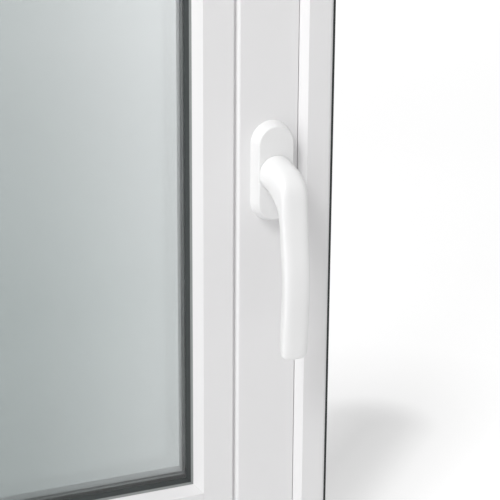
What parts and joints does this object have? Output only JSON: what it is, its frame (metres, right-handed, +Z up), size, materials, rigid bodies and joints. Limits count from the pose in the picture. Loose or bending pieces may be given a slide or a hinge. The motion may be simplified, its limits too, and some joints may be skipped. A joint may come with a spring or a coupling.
{
  "type": "window sash with crank handle",
  "caption": "White plastic inward-opening window sash with mitred frame, double glazing, hinge leaves and a lever handle that drives locking cams along its edge.",
  "frame": {"origin": "centre of the lower hinge bore, at the room face of the hinge stile", "axes": "+Z up along the hinge axis, +X across the sash from the hinge stile to the handle stile, +Y from the room face to the outside"},
  "size_m": [0.5614, 0.1081, 0.6468],
  "materials": {
    "profile_white": "satin",
    "handle_white": "satin",
    "cover_white": "satin",
    "clear_glass": "polished",
    "black_seal": "matte",
    "grey_lip": "matte",
    "edge_sealant_black": "matte",
    "spacer_aluminium": "satin",
    "galvanised_steel": "satin",
    "zinc_casting": "satin",
    "bright_steel": "satin",
    "grey_plastic": "matte",
    "bush_plastic": "matte"
  },
  "bodies": {
    "sash": {"bead_bottom": "profile_white", "bead_left": "profile_white", "bead_lip": "grey_lip", "bead_right": "profile_white", "bead_top": "profile_white", "bottom_rail": "profile_white", "bottom_rail_steel": "galvanised_steel", "detent_springs": "galvanised_steel", "edge_seal": "black_seal", "edge_sealant": "edge_sealant_black", "faceplate": "galvanised_steel", "faceplate_screws": "bright_steel", "gear_case": "zinc_casting", "gear_case_lid": "galvanised_steel", "glazing_seal_inner": "black_seal", "glazing_seal_outer": "black_seal", "handle_base": "grey_plastic", "handle_screws": "bright_steel", "hinge_bush_lower": "bush_plastic", "hinge_bush_upper": "bush_plastic", "hinge_leaf_lower": "handle_white", "hinge_leaf_upper": "handle_white", "hinge_screws": "bright_steel", "hinge_stile": "profile_white", "hinge_stile_steel": "galvanised_steel", "lock_stile": "profile_white", "lock_stile_steel": "galvanised_steel", "pane_inner": "clear_glass", "pane_outer": "clear_glass", "rosette_cover": "cover_white", "setting_blocks": "grey_plastic", "spacer_frame": "spacer_aluminium", "top_rail": "profile_white", "top_rail_steel": "galvanised_steel"},
    "handle": {"handle_lever": "handle_white", "spindle": "bright_steel", "spindle_pin": "bright_steel", "detent_disc": "zinc_casting", "drive_pinion": "zinc_casting"},
    "drive_rail": {"drive_rail": "galvanised_steel", "locking_cam_lower": "bright_steel", "locking_cam_upper": "bright_steel"}
  },
  "joints": [
    {"name": "handle_turn", "type": "hinge", "parent": "sash", "child": "handle", "pos_m": [0.508, 0.0067, 0.22], "axis": [0, 1, 0], "range_deg": [0, 90], "deforming": ["detent_springs"]},
    {"name": "rail_slide", "type": "slide", "parent": "sash", "child": "drive_rail", "axis": [0, 0, -1], "range_m": [0, 0.0177]}
  ],
  "couplings": [
    {"joint": "rail_slide", "follows": "handle_turn", "m_per_rad": 0.01125}
  ]
}
